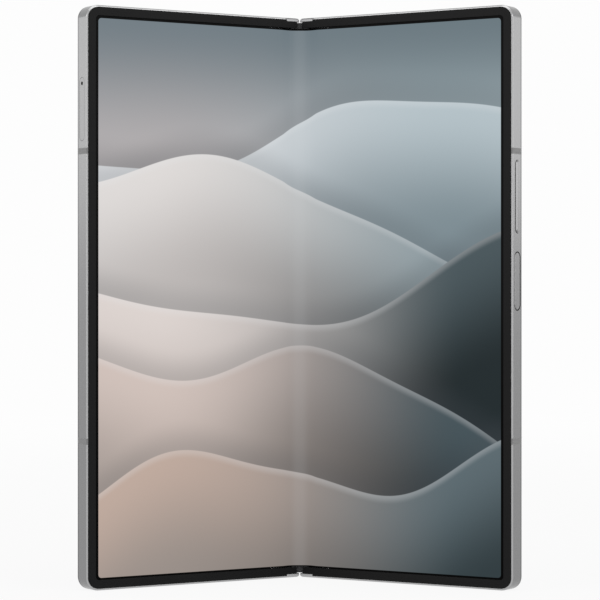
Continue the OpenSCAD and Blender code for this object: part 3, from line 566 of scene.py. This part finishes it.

# Both metals carry painted shade: the walls' metal is darkened over the last millimetre and the chamfer at
# the back, and the cut rim's metal on the feet at the top of the fold
frame_metal = blasted("frame_anodised", 0.25)
across, deep, _ = frame_metal.parts(frame_metal.place())
behind_screen = ((abs(across) * 1000 - AXIS_X) * math.sin(FOLD)
                 + (deep * 1000 - (DEPTH_SHIFT + AXIS_Y)) * math.cos(FOLD) + AXIS_Y)
frame_metal.give(Base_Color=frame_metal.blend(behind_screen.rise(4.4, 4.8), SATIN + (1,),
                                              (0.12, 0.12, 0.122, 1)))
rim_metal = blasted("rim_cut", 0.2)
across, _, up = rim_metal.parts(rim_metal.place())
# Painted shade: the rim is darker on the feet at the top of the fold
fold_top_painted_shade = up.rise(0.1, 0.13) * (1 - abs(across).rise(0.0036, 0.0042))
rim_metal.give(Base_Color=rim_metal.blend(fold_top_painted_shade, (0.4, 0.4, 0.402, 1), (0.19, 0.19, 0.192, 1)))
for piece in (left, right):
    frame_metal.on(piece)
    piece.data.materials.append(rim_metal.material)
    for face in piece.data.polygons:
        if face.center.y < 0.32 and face.normal.y < -0.5:
            face.material_index = 1
stand(left, "left_half", "satin_aluminium", "left_frame", side=-1)
stand(right, "right_half", "satin_aluminium", "right_frame", side=1)

# ---- Antenna breaks ----
# Plastic moulded into the gaps of the frames and machined flush, tinted a little darker
# than the metal.
break_plastic = Finish("break_moulded", Specular_IOR_Level=0.4)
fleck = break_plastic.noise(6000, 2)
break_plastic.give(Base_Color=break_plastic.blend(fleck, (0.2, 0.2, 0.2, 1), (0.23, 0.23, 0.23, 1)),
                   Roughness=0.5 + fleck * 0.1)
break_plastic.relief(fleck, 0.000006, 0.3)
break_plastic.on(nodes["left_antenna_breaks"], nodes["right_antenna_breaks"])

# ---- Boards and what is soldered on them ----
# Dark green boards with tracks under the mask. The shielding cans, the card reader, the
# vibration motor and the charging port have tinned steel shells.
board = Finish("board_masked", Roughness=0.35, Coat_Weight=0.3)
cells = board.node("ShaderNodeTexVoronoi", {"Vector": board.place(), "Scale": 900.0},
                   {"distance": "CHEBYCHEV", "feature": "F1"})
tracks = cells.rise(0.3, 0.36)
board.give(Base_Color=board.blend(tracks, (0.012, 0.07, 0.035, 1), (0.02, 0.12, 0.06, 1)))
board.relief(tracks, 0.00002, 0.5)
board.on(nodes["left_circuit_board"], nodes["main_circuit_board"])
sintered("can_tinned", (0.62, 0.62, 0.6), 0.2).on(
    *(nodes[n] for n in ("shield_cans", "card_reader", "vibration_motor", "usb_port")))

# ---- Batteries ----
# Lithium cells in laminated foil, a little wrinkled, each with its protection strip.
# They are glued into the hollows behind the mid plates.
foil = Finish("foil_pouch", Metallic=0.4)
wrinkle = foil.noise(180, 4, (1, 1, 0.4))
foil.give(Base_Color=foil.blend(wrinkle, (0.022, 0.022, 0.026, 1), (0.045, 0.045, 0.05, 1)),
          Roughness=0.3 + wrinkle * 0.2)
foil.relief(wrinkle, 0.0002, 0.5)
foil.on(nodes["left_battery"], nodes["right_battery"])

# ---- Magnets and charging coil ----
# Nickel-plated magnets along the outer walls, and the flat enamelled winding on the
# right cell.
sintered("magnet_nickel", (0.6, 0.6, 0.62), 0.16).on(nodes["left_magnets"], nodes["right_magnets"])
winding = Finish("winding_enamelled", Metallic=1.0)
coil_low, coil_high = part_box("charging_coil")
turns = (winding.distance((coil_low + coil_high) / 2) * 16000).sine().rise(-0.6, 0.6)
winding.give(Base_Color=winding.blend(turns, (0.3, 0.11, 0.04, 1), (0.72, 0.34, 0.15, 1)),
             Roughness=0.34 - turns * 0.08)
winding.relief(turns, 0.00004, 0.6)
winding.on(nodes["charging_coil"])

# ---- Black modules ----
# Loudspeaker, earpiece, cameras and the outer display's stack: black moulded or
# anodised cans, each matt with a fine texture.


def black(name, low, high, rough, metal=0.0):
    """A black that is mottled between two levels."""
    finish = Finish(name, Metallic=metal, Specular_IOR_Level=0.4)
    skin = finish.noise(2600, 3)
    finish.give(Base_Color=finish.blend(skin, (low, low, low * 1.05, 1), (high, high, high * 1.05, 1)),
                Roughness=rough + skin * 0.15)
    return finish.relief(skin, 0.000015, 0.4)


black("module_moulded", 0.012, 0.024, 0.45).on(
    *(nodes[n] for n in ("earpiece_speaker", "loudspeaker", "cover_display_panel", "cover_camera",
                         "inner_camera")))
black("module_anodised", 0.02, 0.04, 0.35, 0.8).on(nodes["camera_modules"])

# ---- Card tray ----
# A machined bar, flush with the left wall, that carries a thin open frame with a ledge for
# the card. A pin pushed into the hole near its top lets it out.
PIN_Z, PIN_R = 132.95, 0.5
tray = stadium("tray", (65.4, HALF_W), (KEY_LINE - TRAY_W / 2, KEY_LINE + TRAY_W / 2), TRAY_Z, 0)
soften(tray, lambda a, b: lies(a, b, 0, HALF_W), 0.05, 2)
carve(tray, stadium("tool", (64.3, 65.8), (1.65, 3.75), (118.2, 134.2), 0),
      block("tool", (51, 64.4), (2.25, 3.15), (119.3, 133.1)), how="UNION")
carve(tray, block("tool", (52, 63.2), (2.6, 4.7), (120.1, 132.3)),
      block("tool", (53, 62.4), (0.7, 4.7), (120.9, 131.5)),
      rod("tool", (63.3, KEY_LINE, PIN_Z), (67.3, KEY_LINE, PIN_Z), PIN_R))
tray_metal = satin_metal("tray_anodised", SATIN, 0.25)
# Painted shade: a near-black finish put inside the pin hole, and further down on the side key's border and
# sides, where shade falls
painted_recess_shade = Finish("recess_shade_painted", Specular_IOR_Level=0.1)
recess_mottle = painted_recess_shade.noise(4000, 2)
painted_recess_shade.give(Base_Color=painted_recess_shade.blend(recess_mottle, (0.002, 0.002, 0.002, 1), (0.006, 0.006, 0.006, 1)),
               Roughness=0.6 + recess_mottle * 0.2)
tray_metal.on(tray)
tray.data.materials.append(painted_recess_shade.material)
for face in tray.data.polygons:
    off_pin = math.hypot(face.center.y - KEY_LINE, face.center.z - PIN_Z)
    if face.center.x > 63.4 and off_pin < PIN_R + 0.01:
        face.material_index = 1
stand(tray, "card_tray", "key_aluminium", "card_tray", side=-1)
tray.name = "card_tray_machined"

# ---- Volume key and side key ----
# Machined keys in the right edge, each with a sloped border round its face and a flange
# behind the wall. The volume key stands proud, and the side key is almost flush.


def key(name, width, z, flange, face, slope, drop):
    """A key from its flange to its face, with a border that drops away over the slope's width."""
    piece = stadium(name, (flange - 0.45, face - drop), (KEY_LINE - width / 2, KEY_LINE + width / 2), z,
                    0, 14)
    work(piece, lambda a, b: lies(a, b, 0, face - drop),
         lambda: bpy.ops.mesh.inset(thickness=slope, depth=drop))
    soften(piece, lambda a, b: lies(a, b, 0, face), 0.08, 2)
    return carve(piece, block("tool", (flange - 0.45, flange), (1.45, 3.95), (z[0] - 0.6, z[1] + 0.6)),
                 how="UNION")


key_metal = satin_metal("key_anodised", SATIN, 0.24)
volume = key("volume_key_machined", VOLUME_W, VOLUME_Z, 65.1, 66.65, 0.35, 0.25)
power = key("side_key_machined", POWER_W, POWER_Z, 65.3, 66.35, 0.2, 0.1)
key_metal.on(volume, power)
# Painted shade on the side key's border and sides, as in a dark gap round the key
power.data.materials.append(painted_recess_shade.material)
for face in power.data.polygons:
    if face.center.x < 66.24:
        face.material_index = 1
stand(volume, "volume_key", "key_aluminium", "volume_key", side=1)
stand(power, "power_key", "key_aluminium", "power_key", side=1)

# ---- Cover glass and rear glass ----
# Strengthened glass on the backs of both halves, with its edges ground to a soft curve.
# The left one covers the outer display, and the right one is etched matt.
LENS_X, LENS_ZS = 54.4, (111, 125.5, 140)
FLASH_X, FLASH_Z = 43, 140


def back_glass(name, front):
    """A pane from its front face to the phone's back."""
    piece = block(name, (1.95, 65.3), (front, DEPTH), (1, 152.5))
    soften(piece, lambda a, b: runs(a, b, 1), 2.5, 16)
    soften(piece, lambda a, b: lies(a, b, 1, DEPTH), 0.14, 4)
    return piece


def lens_bar(y, z, radius, sides=96):
    """A round bar on the line of the rear lenses, at height z."""
    return rod("tool", (LENS_X, y[0], z), (LENS_X, y[1], z), radius, sides)


cover = back_glass("cover_glass_ground", 5.3)
cover_glass = Finish("cover_glass_polished", Coat_Weight=1.0, Coat_Roughness=0.03)
smudge = cover_glass.noise(60, 5).rise(0.5, 0.8)
window = TO_HALF @ Vector((33, DEPTH, 147))
window.x = -window.x
away = cover_glass.distance(window)
surface = cover_glass.blend(smudge, (0.006, 0.006, 0.008, 1), (0.011, 0.011, 0.013, 1))
surface = cover_glass.blend(away.rise(0.002, 0.0019), surface, (0.02, 0.02, 0.022, 1))
surface = cover_glass.blend(away.rise(0.0015, 0.0013), surface, (0.004, 0.004, 0.006, 1))
surface = cover_glass.blend(away.rise(0.0007, 0.0004), surface, (0.015, 0.02, 0.05, 1))
cover_glass.give(Base_Color=surface, Roughness=0.05 + smudge * 0.12)
cover_glass.on(stand(cover, "left_half", "cover_glass", "cover_display_glass", side=-1))

back = back_glass("rear_glass_etched", 5.1)
for z in LENS_ZS:
    carve(back, lens_bar((4, 7), z, 5.3, 64))
carve(back, rod("tool", (FLASH_X, 4, FLASH_Z), (FLASH_X, 7, FLASH_Z), 2.45, 48))
etched = Finish("rear_glass_matt", Coat_Weight=0.35, Coat_Roughness=0.25, Metallic=0.35)
frost = etched.noise(7000, 2)
bloom = etched.noise(25, 3)
etched.give(Base_Color=etched.blend(bloom, (0.33, 0.34, 0.355, 1), (0.38, 0.39, 0.405, 1)),
            Roughness=0.38 + frost * 0.12)
etched.relief(frost, 0.000008, 0.5)
etched.on(stand(back, "right_half", "rear_glass", "rear_glass", side=1))

# ---- Camera island, rings, lenses and flash ----
# A low anodised island with three lenses in a row. Each lens has a turned ring and a
# coated front glass, and the flash beside them has a ribbed diffuser.
ISLAND_TOP, RING_TOP, LENS_TOP = 6.35, 7.05, 6.6
rises = [z - LENS_ZS[0] for z in LENS_ZS[1:]]
island = block("island_machined", (46.6, 62.2), (DEPTH, ISLAND_TOP), (103.2, 147.8))
soften(island, lambda a, b: runs(a, b, 1), 7.79, 28)
soften(island, lambda a, b: lies(a, b, 1, ISLAND_TOP), 0.22, 4)
for z in LENS_ZS:
    carve(island, lens_bar((5, 7), z, 5.3, 64))
satin_metal("island_anodised", (0.3, 0.305, 0.315), 0.3).on(
    stand(island, "right_half", "camera_metal", "camera_island", side=1))


def rounds(a, b):
    """Whether an edge goes round the middle of the lowest lens."""
    first, second = (math.hypot(end.x - LENS_X, end.z - LENS_ZS[0]) for end in (a, b))
    return abs(first - second) < 0.001


rings = lens_bar((ISLAND_TOP, RING_TOP), LENS_ZS[0], 6.5)
rings.name = "rings_turned"
carve(rings, lens_bar((6, 7.5), LENS_ZS[0], 5.2), lens_bar((RING_TOP - 0.1, 7.5), LENS_ZS[0], 5.75))
soften(rings, lambda a, b: lies(a, b, 1, RING_TOP) and rounds(a, b), 0.1, 3)
repeat(rings, *rises)
turned = Finish("ring_turned", Metallic=1.0)
spin_marks = turned.noise(2500, 2)
turned.give(Base_Color=turned.blend(spin_marks, (0.26, 0.265, 0.275, 1), (0.34, 0.345, 0.355, 1)),
            Roughness=0.2 + spin_marks * 0.1)
turned.relief(spin_marks, 0.000004, 0.4)
turned.on(stand(rings, "right_half", "camera_metal", "camera_rings", side=1))

lenses = lens_bar((6.15, LENS_TOP), LENS_ZS[0], 5.17)
lenses.name = "lenses_coated"
soften(lenses, lambda a, b: lies(a, b, 1, LENS_TOP), 0.12, 3)
repeat(lenses, *rises)
coated = Finish("lens_coated", Coat_Weight=0.3, Coat_Roughness=0.02, Roughness=0.06,
                Specular_IOR_Level=0.2)
low, middle, high = (coated.distance(TO_HALF @ Vector((LENS_X, LENS_TOP, z))) for z in LENS_ZS)
near = low.at_most(middle).at_most(high)
barrel = near.rise(0.0021, 0.0023) * (1 - near.rise(0.0032, 0.0033))
coating = 1 - near.rise(0.0006, 0.002)
glass = coated.blend(barrel, (0.004, 0.004, 0.005, 1), (0.03, 0.03, 0.034, 1))
coated.give(Base_Color=coated.blend(coating, glass, (0.012, 0.008, 0.03, 1)))
coated.on(stand(lenses, "right_half", "lens_glass", "camera_lenses", side=1))

flash = Finish("flash_diffuser", Roughness=0.25, Coat_Weight=0.5)
ripple = (flash.distance(TO_HALF @ Vector((FLASH_X, DEPTH, FLASH_Z))) * 18000).sine()
flash.give(Base_Color=flash.blend(ripple.rise(-1, 1), (0.72, 0.66, 0.48, 1), (0.86, 0.83, 0.74, 1)))
flash.relief(ripple, 0.00005, 0.5)
flash.on(nodes["camera_flash"])

# ---- Folding screen ----
# One sheet from edge to edge: a stiff stretch on each mid plate and a bending stretch
# between them. It shows a calm picture of layered dunes over a black border.
SCREEN_DEPTH, BEND = (0.1, 0.5), 6.5
LIT_X, LIT_Z, LIT_MIDDLE, LIT_CORNER = 62.8, 73.4, 76.68, 0.9


def map_flat(piece, side):
    """Lays the picture over the flat sheet, before it is folded."""
    layer = piece.data.uv_layers.get("UVMap") or piece.data.uv_layers.new(name="UVMap")
    for loop in piece.data.loops:
        point = piece.data.vertices[loop.vertex_index].co
        layer.data[loop.index].uv = (0.5 + side * point.x / (2 * HALF_W), point.z / HEIGHT)


def tint(code):
    """The linear colour of a hexadecimal screen colour."""
    parts = [int(code[i:i + 2], 16) / 255 for i in (0, 2, 4)]
    return tuple(c / 12.92 if c <= 0.04045 else ((c + 0.055) / 1.055) ** 2.4 for c in parts) + (1.0,)


screen = Finish("screen_lit", Base_Color=(0.001, 0.001, 0.001, 1), Emission_Strength=1.0,
                Specular_IOR_Level=0.03)
flat_u, flat_v, _ = screen.parts(screen.place("UV"))
x = (flat_u - 0.5) * (2 * HALF_W)
z = flat_v * HEIGHT
side_tone = x.rise(-48, 52)


def two_tints(left_code, right_code):
    """A colour that changes from the left of the screen to the right."""
    return screen.blend(side_tone, tint(left_code), tint(right_code))


picture = screen.blend(z.rise(112, 152), two_tints("b2aeaf", "9fadb3"), two_tints("727d84", "6a787f"))
# Each dune, from the back to the front: height, swell, how fast it waves, where the wave
# starts, lean, and the tints of its crest and its foot at the left and at the right
dunes = (
    (121, 7, 0.048, 0.4, 0.10, "d3d5d8", "b4c1c7", "aeb3b7", "7d8c93"),
    (101, 9, 0.041, 2.3, -0.16, "dedad8", "8c9aa0", "bdb8b6", "3f4b50"),
    (79, 10, 0.037, 4.6, 0.12, "dcd3cf", "4a575c", "b8aea9", "222b2e"),
    (55, 9, 0.046, 0.9, -0.20, "d0c1ba", "46545a", "a89d97", "252f33"),
    (30, 8, 0.052, 3.4, 0.08, "bfaa9e", "5d6b71", "998f89", "323d41"),
)
for base, swell, pace, start, lean, crest_l, crest_r, foot_l, foot_r in dunes:
    wave = (x * pace + start).sine() * swell
    ripple = (x * (pace * 2.3) + start * 2).sine() * (swell * 0.18)
    below = base + wave + ripple + x * lean - z
    body = screen.blend(below.rise(0, 34), two_tints(crest_l, crest_r), two_tints(foot_l, foot_r))
    # A shadow on what is behind the crest, and a pale line of light along it
    picture = screen.blend(1 - below.rise(-9, 0) * 0.22, (0.05, 0.06, 0.07, 1), picture)
    body = screen.blend((1 - below.rise(0.1, 2.4)) * 0.18, body, (0.8, 0.82, 0.84, 1))
    picture = screen.blend(below.rise(-0.14, 0.14), picture, body)
# Painted highlight: a soft lighter band along the crease, standing in for its reflection
crease_highlight = 1 - abs(x).rise(0.4, 3.2)
picture = screen.blend(crease_highlight * 0.045, picture, (0.75, 0.78, 0.8, 1))
out_x = (abs(x) - (LIT_X - LIT_CORNER)).at_least(0)
out_z = (abs(z - LIT_MIDDLE) - (LIT_Z - LIT_CORNER)).at_least(0)
lit = 1 - ((out_x * out_x + out_z * out_z) ** 0.5).rise(LIT_CORNER - 0.04, LIT_CORNER + 0.04)
smear = screen.noise(45, 4).rise(0.5, 0.8)
screen.give(Emission_Color=screen.blend(lit, (0, 0, 0, 1), picture), Roughness=0.16 + smear * 0.06)

panel = block("screen_right", (BEND, 64.95), SCREEN_DEPTH, (1.95, 151.55))
carve(panel, block("tool", (0, 9.75), (-1, 1), (0, 3)), block("tool", (0, 9.75), (-1, 1), (150.5, 154)))
soften(panel, lambda a, b: runs(a, b, 1) and a.x > 60, 1.9, 12)
other_panel = twin(panel, "screen_left")
for piece, side, body, node in ((panel, 1, "right_half", "right_display_panel"),
                                (other_panel, -1, "left_half", "left_display_panel")):
    map_flat(piece, side)
    screen.on(stand(piece, body, "folding_screen", node, side=side))

strip = block("bend_right", (0, BEND), SCREEN_DEPTH, (3, 150.5))
work(strip, lambda a, b: runs(a, b, 0), lambda: bpy.ops.mesh.subdivide(number_cuts=47))
other_strip = twin(strip, "bend_left")
for piece, side in ((strip, 1), (other_strip, -1)):
    map_flat(piece, side)
    bend(piece, side, (0, 0.3), (6.1, 0.3), "display_fold_zone")
    screen.on(piece)

# ---- Bezel trims ----
# A raised trim of dark soft-touch plastic round each half's screen, open towards the
# fold, with softly rounded edges. It sits in a shallow seat inside the frame's rim.
TRIM_FACE, TRIM_END = -0.4, 150.7
trim = pan((1.65, 65.82), (TRIM_FACE, 0.1), (0.5, 153), 3, 60)
carve(trim, pan((-8, 63.75), (-1, 1), (HEIGHT - TRIM_END, TRIM_END), 1),
      block("tool", (0, 4.8), (-2, 1), (0, 0.95)), block("tool", (0, 4.8), (-2, 1), (152.55, 154)))
# The upper end leans towards the other half's
work(trim, lambda a, b: lies(a, b, 0, 1.65) and lies(a, b, 2, TRIM_END),
     lambda: bpy.ops.transform.translate(value=(-0.25, 0, 0)))
soften(trim, lambda a, b: lies(a, b, 1, TRIM_FACE), 0.1, 3)
other_trim = twin(trim, "trim_left")
trim.name = "trim_right"
trim_plastic = Finish("trim_soft_touch", Specular_IOR_Level=0.1)
skin = trim_plastic.noise(5200, 2)
sheen = trim_plastic.noise(60, 2)
trim_plastic.give(
    Base_Color=trim_plastic.blend(skin, (0.005, 0.005, 0.0052, 1), (0.0068, 0.0068, 0.007, 1)),
    Roughness=0.4 + skin * 0.12 + (sheen - 0.5) * 0.06)
trim_plastic.relief(skin, 0.000012, 0.4)
trim_plastic.on(stand(trim, "right_half", "bezel_plastic", "right_bezel_trim", side=1),
                stand(other_trim, "left_half", "bezel_plastic", "left_bezel_trim", side=-1))

# ---- Stage ----
# A plain white floor under a plain white surround, soft light from above and from both
# sides, and the camera straight on, level with the middle of the phone.
WHITE = (0.983, 0.983, 0.983, 1)


def seen(recipe):
    """1 on what the camera sees, straight or in metal and glass, and 0 for the light on the phone."""
    rays = ("Is Camera Ray", "Is Glossy Ray", "Is Transmission Ray")
    return sum(recipe.node("ShaderNodeLightPath", output=ray) for ray in rays).at_most(1)


bpy.ops.object.select_all(action="DESELECT")
bpy.ops.mesh.primitive_plane_add(size=60)
floor = bpy.context.object
floor.name = "floor"
paper = Finish("paper_white", Base_Color=(0.8, 0.8, 0.8, 1), Roughness=1.0, Specular_IOR_Level=0.0)
# The floor keeps a little of the phone's shadow close to it
share = seen(paper) * (0.92 + paper.distance((0, 0, 0)).rise(0.1, 0.9) * 0.08)
white = paper.node("ShaderNodeEmission", {"Color": WHITE})
sheet = paper.node("ShaderNodeMixShader", {0: share, 1: Tone(paper, paper.shader.outputs[0]), 2: white})
paper.feed(paper.tree.nodes["Material Output"].inputs["Surface"], sheet)
paper.on(floor)

world = bpy.data.worlds.new("surround")
world.use_nodes = True
bpy.context.scene.world = world
surround = Recipe(world.node_tree)
sky = surround.tree.nodes["Background"]
surround.feed(sky.inputs["Strength"], 1.0)
surround.feed(sky.inputs["Color"], surround.blend(seen(surround), (0.62, 0.62, 0.62, 1), WHITE))


def softbox(name, place, target, size, power):
    """A rectangular lamp at a place, turned to a target."""
    data = bpy.data.lights.new(name, "AREA")
    data.shape = "RECTANGLE"
    data.size, data.size_y = size
    data.energy = power
    lamp = bpy.data.objects.new(name, data)
    bpy.context.scene.collection.objects.link(lamp)
    lamp.location = place
    lamp.rotation_euler = (Vector(target) - Vector(place)).to_track_quat("-Z", "Y").to_euler()


softbox("box_above", (0, -0.2, 1.4), (0, 0, 0.08), (1.2, 0.9), 4)
for side in (-1, 1):
    softbox("strip_behind", (side * 1.12, 0.656, 0.26), (side * 0.05, 0, 0.08), (0.95, 0.26), 0.7)
    softbox("box_before", (side * 1.1, -0.64, 0.38), (0, 0, 0.15), (0.9, 0.72), 3.4)

camera = bpy.data.cameras.new("camera")
camera.sensor_width = 36
camera.lens = 153.9
camera.shift_x = 0.34 / 600
camera.shift_y = -2.3 / 600
camera.clip_start = 0.01
viewer = bpy.data.objects.new("camera", camera)
bpy.context.scene.collection.objects.link(viewer)
viewer.location = (0, -0.69005, 0.07675)
viewer.rotation_euler = (math.pi / 2, 0, 0)
bpy.context.scene.camera = viewer
bpy.context.scene.view_settings.view_transform = "Standard"
